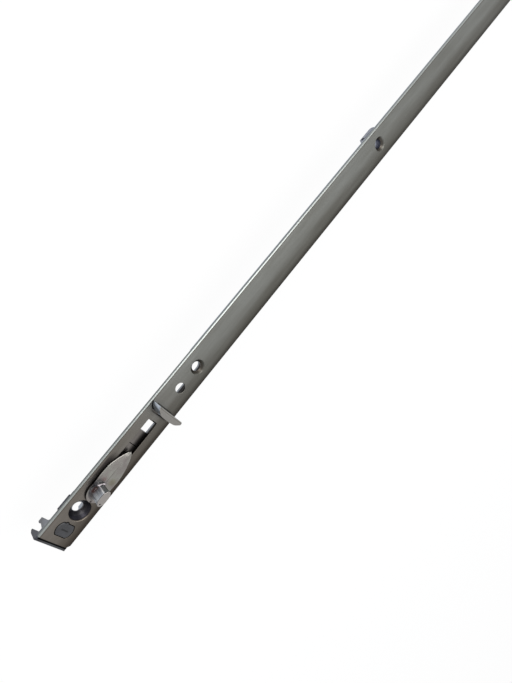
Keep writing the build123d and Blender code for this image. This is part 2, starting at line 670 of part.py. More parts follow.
def make_case_rivets():
    return Compound(children=[rivet(x, z) for x, z in case_rivet_places()])


def make_case_pillars():
    pillars = []
    for x, z in pillar_places():
        waist = cross_post(x, z, -CASE_CAVITY_HALF, CASE_CAVITY_HALF, PILLAR_RADIUS)
        pillars.append(rivet(x, z) + waist)
    return Compound(children=pillars)


# Spindle hub


def involute(base, radius, start):
    """The point at this radius on the involute that leaves the base circle at angle start."""
    roll = math.sqrt(max((radius / base) ** 2 - 1, 0))
    angle = start + roll - math.atan(roll)
    return angle


def pinion_face():
    """An involute pinion about the origin, one tooth pointing along +Y of the sketch."""
    base = PINION_RADIUS * math.cos(math.radians(PRESSURE_ANGLE))
    tip = PINION_RADIUS + PINION_MODULE
    root = PINION_RADIUS - ROOT_DEPTH_MODULES * PINION_MODULE
    start_radius = max(base, root)
    at_pitch = involute(base, PINION_RADIUS, 0)
    half_tooth = math.pi / (2 * PINION_TEETH)
    rise_step = (tip - start_radius) / FLANK_STEPS
    steps = [start_radius + rise_step * i for i in range(FLANK_STEPS + 1)]
    edges = []
    pitch_angle = 2 * math.pi / PINION_TEETH

    def at(radius, angle):
        return (radius * math.sin(angle), radius * math.cos(angle))

    for i in range(PINION_TEETH):
        middle = i * pitch_angle
        half_at = [half_tooth + at_pitch - involute(base, r, 0) for r in steps]
        rise = [at(r, middle - h) for r, h in zip(steps, half_at)]
        fall = [at(r, middle + h) for r, h in zip(steps, half_at)][::-1]
        foot_in, foot_out = at(root, middle - half_at[0]), at(root, middle + half_at[0])
        next_foot = at(root, middle + pitch_angle - half_at[0])
        edges += [Line(foot_in, rise[0]), Spline(rise)]
        edges += [ThreePointArc(rise[-1], at(tip, middle), fall[0]), Spline(fall)]
        edges += [Line(fall[-1], foot_out)]
        edges += [ThreePointArc(foot_out, at(root, middle + pitch_angle / 2), next_foot)]
    return make_face(Wire(edges))


def make_spindle_hub():
    plane = Plane(origin=(HUB_X, PINION_WIDTH / 2, -BACKSET), x_dir=(1, 0, 0), z_dir=(0, -1, 0))
    hub = extrude(plane * pinion_face(), amount=PINION_WIDTH)
    hub += cross_post(HUB_X, -BACKSET, -CASE_HALF_WIDTH, CASE_HALF_WIDTH, HUB_JOURNAL_RADIUS)
    half = SPINDLE_SQUARE / 2
    hub -= block(HUB_X - half, HUB_X + half, -CASE_HALF_WIDTH, CASE_HALF_WIDTH,
                 -BACKSET - half, -BACKSET + half)
    return hub


def make_parts():
    parts = {
        "faceplate": make_faceplate(),
        "end_bracket_lower": make_end_bracket(),
        "end_bracket_upper": mirror_end(make_end_bracket()),
        "end_button_lower": make_end_button(),
        "end_button_upper": mirror_end(make_end_button()),
        "lift_lug": make_lift_lug(),
        "case_plate_left": make_case_plate(-1),
        "case_plate_right": make_case_plate(1),
        "case_rivets": make_case_rivets(),
        "case_pillars": make_case_pillars(),
        "face_studs": make_face_studs(),
        "spindle_hub": make_spindle_hub(),
        "drive_rod": make_drive_rod(),
        "rod_tail": make_rod_tail(),
        "coupling_rail_lower": make_lower_rail(),
        "coupling_rail_upper": make_upper_rail(),
        "rail_rivets": make_rail_rivets(),
        "cam_shoe": make_cam_shoe(),
        "shoe_rivets": make_shoe_rivets(),
        "lock_cam": make_cam(CAM_X),
        "mid_shoe": make_mid_shoe(),
        "mid_cam": make_cam(MID_CAM_X),
    }
    for name, x in zip(("lower", "upper"), stud_xs()):
        parts["case_block_" + name] = make_case_block(x)
    for name, x in zip(("lower", "upper"), handle_screw_xs()):
        parts["handle_sleeve_" + name] = make_handle_sleeve(x)
    for number, x in enumerate(GUIDE_XS, 1):
        parts["guide_block_" + str(number)] = make_guide_block(x)
    return parts


os.makedirs("parts", exist_ok=True)
for node, shape in make_parts().items():
    export_step(shape, "parts/" + node + ".step")
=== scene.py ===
import bmesh
import bpy
import json
import math
import numpy as np
from mathutils import Matrix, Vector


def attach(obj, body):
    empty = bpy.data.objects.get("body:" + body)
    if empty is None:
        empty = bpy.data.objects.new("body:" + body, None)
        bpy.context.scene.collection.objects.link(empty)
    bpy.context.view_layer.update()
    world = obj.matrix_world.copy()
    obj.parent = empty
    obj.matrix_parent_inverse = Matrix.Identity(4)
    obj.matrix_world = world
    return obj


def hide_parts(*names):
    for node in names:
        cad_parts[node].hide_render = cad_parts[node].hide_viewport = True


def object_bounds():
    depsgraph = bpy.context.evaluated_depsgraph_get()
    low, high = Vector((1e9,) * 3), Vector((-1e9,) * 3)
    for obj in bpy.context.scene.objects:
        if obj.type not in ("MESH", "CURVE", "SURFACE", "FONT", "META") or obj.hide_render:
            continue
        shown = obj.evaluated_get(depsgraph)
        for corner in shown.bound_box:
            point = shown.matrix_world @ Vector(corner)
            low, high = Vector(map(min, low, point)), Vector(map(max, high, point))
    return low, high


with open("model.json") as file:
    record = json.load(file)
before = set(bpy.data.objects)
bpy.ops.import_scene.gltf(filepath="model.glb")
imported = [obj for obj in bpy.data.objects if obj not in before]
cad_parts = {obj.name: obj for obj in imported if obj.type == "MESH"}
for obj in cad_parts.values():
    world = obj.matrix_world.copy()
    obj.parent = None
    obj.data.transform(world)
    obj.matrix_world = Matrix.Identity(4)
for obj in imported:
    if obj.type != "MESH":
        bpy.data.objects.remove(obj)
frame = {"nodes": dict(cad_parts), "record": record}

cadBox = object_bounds()
mm = 0.001

# places that several pieces share, in mm
faceLength = 1265.0
buttonX, endScrewX = 6.0, 15.6  # from either end of the faceplate
lowerCamX, middleCamX = 26.3, 879.3
lineY = 0.1  # the slots, shoes and cams stand on this line


# an sRGB hex colour, made linear
def paint(hexColour):
    values = [int(hexColour[i:i + 2], 16) / 255 for i in (1, 3, 5)]
    linear = [v / 12.92 if v <= 0.04045 else ((v + 0.055) / 1.055) ** 2.4 for v in values]
    return (*linear, 1.0)


# a node with its settings, input values (by name or number) and links
def addNode(tree, kind, settings=None, inputs=None, links=None):
    node = tree.nodes.new(kind)
    for name, value in (settings or {}).items():
        setattr(node, name, value)
    for key, value in (inputs or {}).items():
        node.inputs[key].default_value = value
    for key, source in (links or {}).items():
        tree.links.new(source, node.inputs[key])
    return node


print("camera")
camera = {
    "place": (75.4805, 128.1383, 172.3872),  # mm
    "right": (0.60981649, -0.5174698, 0.60029064),
    "down": (-0.76694251, -0.57625609, 0.28236167),
    "ahead": (0.1998075, -0.63257721, -0.74828005),
    "focalPixels": 472.1676,
    "imageHeight": 683,
    "filmHeight": 36.0,
    "clip": (0.005, 60),  # m
}


def placeCamera(values):
    data = bpy.data.cameras.new("photoCamera")
    data.sensor_fit = "VERTICAL"
    data.sensor_height = values["filmHeight"]
    data.lens = values["focalPixels"] * values["filmHeight"] / values["imageHeight"]
    data.clip_start, data.clip_end = values["clip"]
    cam = bpy.data.objects.new("photoCamera", data)
    pose = np.eye(4)
    pose[:3, :3] = np.array([values["right"], -np.array(values["down"]), -np.array(values["ahead"])]).T
    pose[:3, 3] = np.array(values["place"]) * mm
    cam.matrix_world = Matrix(pose.tolist())
    bpy.context.collection.objects.link(cam)
    bpy.context.scene.camera = cam


placeCamera(camera)
bpy.context.scene.view_settings.view_transform = "Standard"

print("floor and lights")
studio = {
    "floorSize": 14.0,  # m
    "floorDrop": 0.0005,
    "floorColour": "#f4f4f4",
    "shadowShare": 0.1,
    "worldColour": "#fbfcff",
    "worldStrength": 0.72,
}
lamps = {
    "keyLamp": {"place": (0.42, 1.0, 1.0), "aim": (0.15, 0, 0), "size": 1.0, "power": 9.0},
    "topLamp": {"place": (0.6, 0.1, 1.5), "aim": (0.6, 0, 0), "size": 1.2, "power": 9.0},
}


# a flat square, floor white to the camera and in reflections, with some of the object's shadow left in it
def makeFloor(values):
    half = values["floorSize"] / 2
    z = cadBox[0][2] - values["floorDrop"]
    mesh = bpy.data.meshes.new("studioFloor")
    mesh.from_pydata([(-half, -half, z), (half, -half, z), (half, half, z), (-half, half, z)], [],
                     [(0, 1, 2, 3)])
    floor = bpy.data.objects.new("studioFloor", mesh)
    bpy.context.collection.objects.link(floor)
    material = bpy.data.materials.new("paleFloor")
    material.use_nodes = True
    tree = material.node_tree
    tree.nodes.clear()
    path = addNode(tree, "ShaderNodeLightPath")
    seen = path.outputs["Is Camera Ray"]
    for other in ("Is Glossy Ray", "Is Transmission Ray"):
        seen = addNode(tree, "ShaderNodeMath", {"operation": "MAXIMUM"}, {},
                       {0: seen, 1: path.outputs[other]}).outputs[0]
    share = addNode(tree, "ShaderNodeMath", {"operation": "MULTIPLY"}, {1: 1 - values["shadowShare"]},
                    {0: seen})
    matt = addNode(tree, "ShaderNodeBsdfDiffuse", {}, {"Color": paint(values["floorColour"])})
    glow = addNode(tree, "ShaderNodeEmission", {}, {"Color": (1, 1, 1, 1), "Strength": 1.0})
    mix = addNode(tree, "ShaderNodeMixShader", {}, {},
                  {0: share.outputs[0], 1: matt.outputs[0], 2: glow.outputs[0]})
    addNode(tree, "ShaderNodeOutputMaterial", {}, {}, {"Surface": mix.outputs[0]})
    mesh.materials.append(material)


def addLamp(name, values):
    data = bpy.data.lights.new(name, "AREA")
    data.shape = "DISK"
    data.size = values["size"]
    data.energy = values["power"]
    lamp = bpy.data.objects.new(name, data)
    back = np.array(values["place"], float) - np.array(values["aim"], float)
    back /= np.linalg.norm(back)
    steep = abs(back[2]) > 0.9
    side = np.cross((0.0, 1.0, 0.0) if steep else (0.0, 0.0, 1.0), back)
    side /= np.linalg.norm(side)
    pose = np.eye(4)
    pose[:3, :3] = np.array([side, np.cross(back, side), back]).T
    pose[:3, 3] = values["place"]
    lamp.matrix_world = Matrix(pose.tolist())
    bpy.context.collection.objects.link(lamp)


def makeWorld(values):
    world = bpy.data.worlds.new("studioWorld")
    world.use_nodes = True
    tree = world.node_tree
    tree.nodes.clear()
    path = addNode(tree, "ShaderNodeLightPath")
    soft = addNode(tree, "ShaderNodeBackground", {}, {"Color": paint(values["worldColour"]),
                                                      "Strength": values["worldStrength"]})
    white = addNode(tree, "ShaderNodeBackground", {}, {"Color": (1, 1, 1, 1), "Strength": 1.0})
    mix = addNode(tree, "ShaderNodeMixShader", {}, {},
                  {0: path.outputs["Is Camera Ray"], 1: soft.outputs[0], 2: white.outputs[0]})
    addNode(tree, "ShaderNodeOutputWorld", {}, {}, {"Surface": mix.outputs[0]})
    bpy.context.scene.world = world


makeFloor(studio)
makeWorld(studio)
for lampName, lampValues in lamps.items():
    addLamp(lampName, lampValues)

print("materials")


# noise on Object coordinates, stretched to a grain of (x, y, z) mm
def grainNoise(tree, grain, detail=3.0, roughness=0.6):
    place = addNode(tree, "ShaderNodeTexCoord")
    scale = tuple(1 / (mm * g) for g in grain)
    turned = addNode(tree, "ShaderNodeMapping", {}, {"Scale": scale}, {"Vector": place.outputs["Object"]})
    return addNode(tree, "ShaderNodeTexNoise", {}, {"Scale": 1.0, "Detail": detail, "Roughness": roughness},
                   {"Vector": turned.outputs[0]}).outputs[0]


# 0 to 1 as the place runs between two mm values along an axis, or as its distance from an upright line does
def placeRamp(tree, axis, start, end):
    place = addNode(tree, "ShaderNodeTexCoord").outputs["Object"]
    if isinstance(axis, str):
        run = addNode(tree, "ShaderNodeSeparateXYZ", {}, {}, {0: place}).outputs["XYZ".index(axis)]
    else:
        flat = addNode(tree, "ShaderNodeVectorMath", {"operation": "MULTIPLY"}, {1: (1, 1, 0)}, {0: place})
        line = (axis[0] * mm, axis[1] * mm, 0)
        run = addNode(tree, "ShaderNodeVectorMath", {"operation": "DISTANCE"}, {1: line},
                      {0: flat.outputs[0]}).outputs["Value"]
    return addNode(tree, "ShaderNodeMapRange", {"interpolation_type": "SMOOTHSTEP"},
                   {1: start * mm, 2: end * mm, 3: 0.0, 4: 1.0}, {0: run}).outputs[0]


# the product of some ramps
def maskOf(tree, ramps):
    mask = placeRamp(tree, *ramps[0])
    for ramp in ramps[1:]:
        mask = addNode(tree, "ShaderNodeMath", {"operation": "MULTIPLY"}, {},
                       {0: mask, 1: placeRamp(tree, *ramp)}).outputs[0]
    return mask


def blend(tree, factor, first, second, how="MIX"):
    node = addNode(tree, "ShaderNodeMix", {"data_type": "RGBA", "blend_type": how})
    for key, value in ((0, factor), (6, first), (7, second)):
        if isinstance(value, bpy.types.NodeSocket):
            tree.links.new(value, node.inputs[key])
        else:
            node.inputs[key].default_value = value
    return node.outputs[2]


# carries a value from one span to another
def remap(tree, source, span, low, high):
    return addNode(tree, "ShaderNodeMapRange", {}, {1: span[0], 2: span[1], 3: low, 4: high},
                   {0: source}).outputs[0]


cloudSpan = (0.32, 0.68)  # the part of each noise's 0 to 1 that is used
grainSpan = (0.3, 0.7)
bumpHeight = 0.01  # mm


# A finish whose tone, gloss and height follow noise. Places are tints, each a hex colour with its ramps, and
# shades are the same but multiply what is there. A ramp rises from 0 to 1 between its two mm values.
def makeFinish(name, values):
    material = bpy.data.materials.new(name)
    material.use_nodes = True
    tree = material.node_tree
    shader = tree.nodes["Principled BSDF"]
    shader.inputs["Metallic"].default_value = values["metallic"]
    grain = grainNoise(tree, values["grain"])
    cloud = grainNoise(tree, values["cloud"], detail=2.0, roughness=0.5)
    spread = remap(tree, cloud, cloudSpan, 0.0, 1.0)
    tone = blend(tree, spread, paint(values["dark"]), paint(values["light"]))
    for tint, *ramps in values.get("places", ()):
        tone = blend(tree, maskOf(tree, ramps), tone, paint(tint))
    for tint, *ramps in values.get("shades", ()):
        tone = blend(tree, maskOf(tree, ramps), tone, blend(tree, 1.0, tone, paint(tint), "MULTIPLY"))
    speck = remap(tree, grain, grainSpan, 1 - values["speck"], 1 + values["speck"])
    tone = blend(tree, 1.0, tone, speck, "MULTIPLY")
    gloss = remap(tree, grain, grainSpan, *values["rough"])
    bump = addNode(tree, "ShaderNodeBump", {}, {"Strength": values["bump"], "Distance": bumpHeight * mm},
                   {"Height": grain}).outputs[0]
    tree.links.new(tone, shader.inputs["Base Color"])
    tree.links.new(gloss, shader.inputs["Roughness"])
    tree.links.new(bump, shader.inputs["Normal"])
    return material


lowerCam, middleCam = (lowerCamX, lineY), (middleCamX, lineY)
lowerDimple, upperDimple = (endScrewX, 0), (faceLength - endScrewX, 0)
well = (26.2, -0.3)
# these keep what is meant for the walls of holes off a part's long edges and its underside
offFaceEdges = (("Y", 7.1, 6.9), ("Y", -7.1, -6.9))
offFaceUnderside = ("Z", -1.49, -1.42)
offRodEdges = (("Y", 5.2, 5.0), ("Y", -5.2, -5.0))

finishes = {
    # satin galvanised strip, drawn along its length: long faint streaks
    "satinStrip": {
        "metallic": 1.0, "grain": (9.0, 0.3, 0.3), "cloud": (40, 4, 4), "dark": "#80807a", "light": "#8b8c87",
        "speck": 0.04, "rough": (0.33, 0.41), "bump": 0.03,
        "places": (
            ("#9ea29f", ("Y", 7.35, 7.5)),  # painted highlight on the rolled edge, then the same, brighter, past the lower end
            ("#a8aca9", ("Y", 7.35, 7.5), ("X", 50, 110)),
        ),
        "shades": (
            ("#ede1dc", ("X", 100, 25), ("Y", 7.3, 7.1)),  # browner at the lower end
            ("#d2cfcb", ("Y", 1.5, -4)),  # painted shade, darker towards -Y
            ("#9c9692", ("Y", -4, -8.0)),
            ("#c6beb8", ("Y", 6.9, 7.1), ("Y", 7.4, 7.3)),  # a line beside the rolled edge
            ("#b4b6ba", ("Z", -0.55, -0.75), ("Y", 7.8, 7.95)),  # painted shade low on the same edge
            ("#b8c0d6", ("Z", -0.3, -0.7), (lowerDimple, 4.72, 4.6)),  # painted shade in the dimples, bluish
            ("#b8c0d6", ("Z", -0.3, -0.7), (upperDimple, 4.72, 4.6)),
            # a ring of painted shade in the lower dimple
            ("#c4c4ce", ("Z", -0.25, -0.6), (lowerDimple, 4.7, 4.5), (lowerDimple, 3.1, 3.7)),
            # painted shade on the walls of the lower slot, the lug's window and the sight hole, then lighter
            # on all the holes past them
            ("#58585c", ("Z", -0.1, -0.4), offFaceUnderside, ("X", 22, 22.5), ("X", 84.4, 84), *offFaceEdges),
            ("#b4aca8", ("Z", -0.1, -0.8), offFaceUnderside, ("X", 86, 88), *offFaceEdges),
            # painted shadow about the shoe's round end, along the shoe and about the blade
            ("#86848a", ((25.3, -0.15), 5.4, 4.75), ("X", 28.4, 27.2), ("Y", 0, 1.5)),
            ("#9c9a9e", ((34, 0.1), 11.5, 7.0), ("Y", 3.4, 4.8), ("Y", 6.8, 5.8)),
            ("#8e8c8c", ("X", 70.4, 69.9), ("X", 65.0, 66.2), ("Y", 5.6, 3.6), ("Y", -6, -4)),
        ),
    },
    # bright zinc plate on steel: cool, glossy, faintly cloudy
    "zincPlate": {
        "metallic": 1.0, "grain": (0.8, 0.8, 0.8), "cloud": (5, 5, 5), "dark": "#868b93", "light": "#989ea7",
        "speck": 0.03, "rough": (0.22, 0.3), "bump": 0.05,
    },
    # the rod: plated strip with a dull, slightly brown face
    "rodStrip": {
        "metallic": 1.0, "grain": (9.0, 0.3, 0.3), "cloud": (30, 4, 4), "dark": "#746f6a", "light": "#847f7a",
        "speck": 0.05, "rough": (0.28, 0.38), "bump": 0.1,
        "places": (
            ("#a3acb8", ("Y", 5.6, 6.1)),  # the bluish sheared edge
            ("#80858c", ("Z", -3.0, -3.4), ("Z", -4.28, -4.2), *offRodEdges),  # low in the rod's slots
        ),
        "shades": (
            ("#747476", ("Y", 0.6, -1.6), ("Z", -1.9, -1.75)),  # painted shade on the face towards -Y
            ("#5a5a60", ("Z", -1.65, -1.85), ("Z", -3.4, -3.0), *offRodEdges),  # painted shade high in the rod's slots
            ("#2c2a2a", ("X", 49.15, 49.3), ("X", 49.65, 49.5), ("Z", -1.8, -1.7)),  # the seam at the tail
        ),
    },
    # die-cast zinc: matt bluish grey, faintly cloudy, darker towards its top
    "castZinc": {
        "metallic": 1.0, "grain": (0.5, 0.5, 0.5), "cloud": (4, 3, 3), "dark": "#82868f", "light": "#9498a2",
        "speck": 0.03, "rough": (0.28, 0.38), "bump": 0.04,
        "shades": (("#b0b0ba", ("Z", -4.6, -4.2)),),
    },
    # the same, chromate dipped and warmer
    "shoeZinc": {
        "metallic": 1.0, "grain": (0.5, 0.5, 0.5), "cloud": (4, 3, 3), "dark": "#968f8b", "light": "#a3a29a",
        "speck": 0.03, "rough": (0.26, 0.34), "bump": 0.02,
        "places": (
            # a painted highlight on the bead's top
            ("#f0e8e6", ("Z", 1.24, 1.4), ("X", 27.4, 27.9), ("X", 30.5, 30.1), (lowerCam, 4.3, 4.0)),
        ),
        "shades": (
            ("#46444a", ("Z", 1.14, 1.0), (lowerCam, 4.2, 4.7), (middleCam, 4.2, 4.7)),  # painted shade at its foot
            ("#cccbd0", (well, 4.75, 4.3), ("Y", -1.5, 0.3)),  # painted shade in the well and on its rim
            ("#a4a4a6", (well, 3.7, 4.3), ("X", 24.2, 25.4), ("X", 28.4, 27.6), ("Y", 2.5, 3.2)),
            ("#f2e0e2", ((31.6, 1.8), 1.6, 0.4)),  # a pink cloud and a yellow one
            ("#ebebda", ((32.0, -2.6), 2.6, 0.6)),
            ("#b89290", ((25.5, 2.1), 1.4, 0.5)),  # a reddish bloom about the cam
            ("#c8a4a2", ((26.7, 2.1), 1.2, 0.5)),
            ("#a4a4a8", ((28.6, 3.9), 2.8, 1.0)),  # painted shade beside the bead
            ("#8a8688", ((21.1, -0.1), 0.8, 0.2)),  # a spot of painted shade at the round end
            ("#c4c0c0", ("Y", 0.3, 0.15), ("Y", -0.1, 0.05), ("X", 30.4, 31.4), ("X", 40, 35)),  # the ridge
        ),
    },
    # cut and plated blade: bluish sides under a matt warm top, with a line of painted shade along its bevel
    "bladeZinc": {
        "metallic": 1.0, "grain": (0.6, 0.6, 0.6), "cloud": (3, 3, 3), "dark": "#8f97a3", "light": "#b3bac4",
        "speck": 0.03, "rough": (0.24, 0.32), "bump": 0.03,
        "places": (("#b8bfc8", ("X", 69.1, 69.6)), ("#9d9a94", ("Z", 6.8, 6.9))),
        "shades": (("#b4b2ac", ("X", 69.02, 69.14), ("X", 69.32, 69.2), ("Z", 7.0, 7.2)),),
    },
    # bright cam shank under a matt cap
    "camZinc": {
        "metallic": 1.0, "grain": (0.6, 0.6, 3.0), "cloud": (0.6, 0.6, 12.0), "dark": "#aeb5bf",
        "light": "#d6dbe0", "speck": 0.03, "rough": (0.36, 0.46), "bump": 0.0,
        "places": (
            # painted glints on two of the shank's corners, then the cap
            ("#f8fbff", ("X", 28.0, 28.15), ("X", 28.65, 28.5), ("Y", 0.9, 1.2), ("Z", 7.6, 7.4)),
            ("#eef2f6", ("X", 24.0, 24.15), ("X", 24.7, 24.5), ("Y", 1.2, 1.5), ("Z", 5.6, 6.6),
             ("Z", 7.6, 7.4)),
            ("#aaa5a0", ("Z", 7.6, 7.66)),
        ),
        "shades": (
            ("#8e9290", ("X", 28.5, 28.7), ("Z", 7.6, 7.5)),  # painted shade on the end that faces +X
            ("#dcd0c8", ("Z", 2.7, 1.2)),  # painted shade at the foot
            ("#6c6c72", ("Z", 7.3, 7.4), ("Z", 7.68, 7.62), ("Y", 0.5, 1.0)),  # a line of painted shadow below the cap's face
        ),
    },
    # the bracket's plate: darker zinc, with brighter claws
    "darkZinc": {
        "metallic": 1.0, "grain": (0.6, 0.6, 0.6), "cloud": (4, 4, 4), "dark": "#6b6c70", "light": "#83868c",
        "speck": 0.04, "rough": (0.26, 0.36), "bump": 0.05,
        "shades": (
            ("#c6c4c0", ("Y", 7.0, 6.8)),
            ("#d0d0d2", ("Y", 6.8, 7.0), ("X", 3, 2)),
            ("#d8d8dc", ("X", 0.4, 0.1), ("Y", 4.5, 6.5)),
            # painted shade in the gap under the faceplate's end
            ("#403e40", ("X", -1.85, -1.6), ("X", 0.6, 0.3), ("Y", 7.0, 6.8)),
            ("#80808a", ("X", 10.2, 10.9), ("X", 24, 22), ("Y", 6.2, 6.5)),
        ),
    },
    # moulded nylon: dark and dull, with painted shade down its side
    "mouldedNylon": {
        "metallic": 0.0, "grain": (0.3, 0.3, 0.3), "cloud": (3, 3, 3), "dark": "#303032", "light": "#38393c",
        "speck": 0.05, "rough": (0.45, 0.55), "bump": 0.05,
        "shades": (("#303032", ("Z", 0.14, 0.02)),),
    },
    # near-black painted shade for small recesses
    "paintedRecessShade": {
        "metallic": 0.0, "grain": (0.3, 0.3, 0.3), "cloud": (3, 3, 3), "dark": "#121213", "light": "#18181a",
        "speck": 0.05, "rough": (0.6, 0.7), "bump": 0.1,
    },
}
materials = {name: makeFinish(name, values) for name, values in finishes.items()}
slotFinish = {
    "satin_steel_strip": "satinStrip",
    "bright_zinc_steel": "zincPlate",
    "grey_zinc_casting": "castZinc",
    "dark_nylon": "mouldedNylon",
}
nodeFinish = {
    "drive_rod": "rodStrip",
    "rod_tail": "rodStrip",
    "rail_rivets": "rodStrip",
    "lift_lug": "bladeZinc",
    "mid_shoe": "shoeZinc",
    "end_bracket_lower": "darkZinc",
    "end_bracket_upper": "darkZinc",
}
for part in frame["record"]["subparts"]:
    cadObject = frame["nodes"][part["node"]]
    finish = materials[nodeFinish.get(part["node"], slotFinish[part["material_slot"]])]
    if not cadObject.material_slots:
        cadObject.data.materials.append(finish)
    for holder in cadObject.material_slots:
        holder.material = finish

print("surfaces")
weldReach, sliverLength = 0.002, 0.001  # mm


# quads of a grid of points laid out row by row; a closed grid joins its last column to its first
def gridQuads(rows, columns, closed=False):
    i, j = np.meshgrid(np.arange(rows - 1), np.arange(columns if closed else columns - 1), indexing="ij")
    k = (j + 1) % columns
    quads = [i * columns + j, (i + 1) * columns + j, (i + 1) * columns + k, i * columns + k]
    return np.stack(quads, -1).reshape(-1, 4).tolist()


# a sheet is (points in mm, faces); rows is an array of rows of points
def gridSheet(rows, closed=False):
    return rows.reshape(-1, 3), gridQuads(rows.shape[0], rows.shape[1], closed)


def capSheet(loop):
    return loop, [list(range(len(loop)))]


# closed outlines, each with its z, joined one to the next and capped at both ends
def stackSheets(sections):
    rows = np.stack([np.column_stack([outline, np.full(len(outline), z)]) for outline, z in sections])
    return [gridSheet(rows, closed=True), capSheet(rows[0]), capSheet(rows[-1])]


# turns over each closed shell whose faces look inwards, told by the sign of its volume
def turnOutwards(work):
    left = set(work.faces)
    while left:
        fresh = {left.pop()}
        origin = next(iter(fresh)).calc_center_median()
        shell = set()
        while fresh:
            shell |= fresh
            fresh = {near for face in fresh for edge in face.edges for near in edge.link_faces} - shell
        left -= shell
        volume = sum(face.calc_area() * face.normal.dot(face.calc_center_median() - origin) for face in shell)
        if volume < 0:
            bmesh.ops.reverse_faces(work, faces=list(shell))


# Sheets welded into one closed mesh with faces outwards, riding on a body in place of some CAD nodes. Edges
# that turn by more than the sharp angle, in degrees, stay crisp.
def makePiece(name, sheets, finish, body, nodes=(), sharp=38):
    points, faces, start = [], [], 0
    for sheetPoints, sheetFaces in sheets:
        points.append(sheetPoints)
        faces += [[v + start for v in face] for face in sheetFaces]
        start += len(sheetPoints)
    mesh = bpy.data.meshes.new(name)
    mesh.from_pydata((np.concatenate(points) * mm).tolist(), [], faces)
    work = bmesh.new()
    work.from_mesh(mesh)
    bmesh.ops.remove_doubles(work, verts=work.verts, dist=weldReach * mm)
    bmesh.ops.dissolve_degenerate(work, edges=work.edges, dist=sliverLength * mm)
    bmesh.ops.recalc_face_normals(work, faces=work.faces)
    turnOutwards(work)
    work.to_mesh(mesh)
    work.free()
    mesh.shade_smooth()
    mesh.set_sharp_from_angle(angle=math.radians(sharp))
    mesh.materials.append(materials[finish])
    piece = bpy.data.objects.new(name, mesh)
    bpy.context.collection.objects.link(piece)
    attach(piece, body)
    if nodes:
        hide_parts(*nodes)


# a smooth line through points: each span is the cubic whose end slopes are half the chord of its neighbours
def smoothLine(points, perSpan):
    p = np.asarray(points, float)
    padded = np.vstack([2 * p[0] - p[1], p, 2 * p[-1] - p[-2]])
    t = (np.arange(perSpan) / perSpan)[None, :, None]
    a, b, c, d = (padded[k:len(padded) - 3 + k][:, None, :] for k in range(4))
    spans = 0.5 * (2 * b + (c - a) * t + (2 * a - 5 * b + 4 * c - d) * t ** 2
                   + (3 * b - a - 3 * c + d) * t ** 3)
    return np.vstack([spans.reshape(-1, p.shape[1]), p[-1:]])


def circleRim(x, y, radius, count=180):
    angle = np.linspace(0, 2 * np.pi, count, endpoint=False)
    return np.stack([x + radius * np.cos(angle), y + radius * np.sin(angle)], 1)


# points at even spacing round a closed line
def resample(line, count):
    closed = np.vstack([line, line[:1]])
    run = np.concatenate([[0], np.cumsum(np.linalg.norm(np.diff(closed, axis=0), axis=1))])
    at = np.linspace(0, run[-1], count, endpoint=False)
    return np.stack([np.interp(at, run, closed[:, k]) for k in (0, 1)], 1)


# a rectangle with round corners, as a closed line
def boxRim(x0, x1, y0, y1, corner, cornerCount, count):
    quarter = np.linspace(0, np.pi / 2, cornerCount)
    line = []
    for number, (x, y) in enumerate(((x1 - corner, y1 - corner), (x0 + corner, y1 - corner),
                                     (x0 + corner, y0 + corner), (x1 - corner, y0 + corner))):
        angle = quarter + number * np.pi / 2
        line.append(np.stack([x + corner * np.cos(angle), y + corner * np.sin(angle)], 1))
    return resample(np.vstack(line), count)


# a round pin: a profile of (radius, z) carried round an upright axis
def pinSheets(x, y, profile, count=40):
    return stackSheets([(circleRim(x, y, radius, count), z) for radius, z in profile])


# the unit direction away from the hole at each point of a closed line
def outwards(line):
    along = np.roll(line, -1, 0) - np.roll(line, 1, 0)
    normal = np.stack([along[:, 1], -along[:, 0]], 1)
    normal /= np.linalg.norm(normal, axis=1)[:, None]
    turn = np.sign(np.sum(normal * (line - line.mean(0))))
    return normal * turn


# angles about a centre with a hole's half sizes squeezed to 1
def anglesAbout(centre, size, points):
    return np.arctan2((points[:, 1] - centre[1]) / size[1], (points[:, 0] - centre[0]) / size[0])


# The bar's length split at its holes: (start, end, hole) of each hole's panel, which reaches as far as its
# margin or halfway to the next hole, and (start, end) of the plain lengths at both ends and between.
def splitLength(x0, x1, chamfer, endRound, holes):
    tiny = 1e-9
    steps = (0, 0.3 * endRound, endRound, 0.5 * chamfer, chamfer)
    bodyStart, bodyEnd = x0 + chamfer, x1 - chamfer
    panels = []
    here = bodyStart
    for number, hole in enumerate(holes):
        left, right = hole["rim"][:, 0].min(), hole["rim"][:, 0].max()
        before = holes[number - 1]["rim"][:, 0].max() if number else x0
        after = holes[number + 1]["rim"][:, 0].min() if number + 1 < len(holes) else x1
        start = max(left - hole["margin"], (before + left) / 2, here)
        end = min(right + hole["margin"], (right + after) / 2, bodyEnd)
        panels.append((start, end, hole))
        here = end
    plain = []
    for borders in ([x0 + s for s in steps], [x1 - s for s in reversed(steps)]):
        plain += zip(borders[:-1], borders[1:])
    here = bodyStart
    for start, end, _ in panels:
        if start > here + tiny:
            plain.append((here, start))
        here = end
    if here < bodyEnd - tiny:
        plain.append((here, bodyEnd))
    return plain, panels


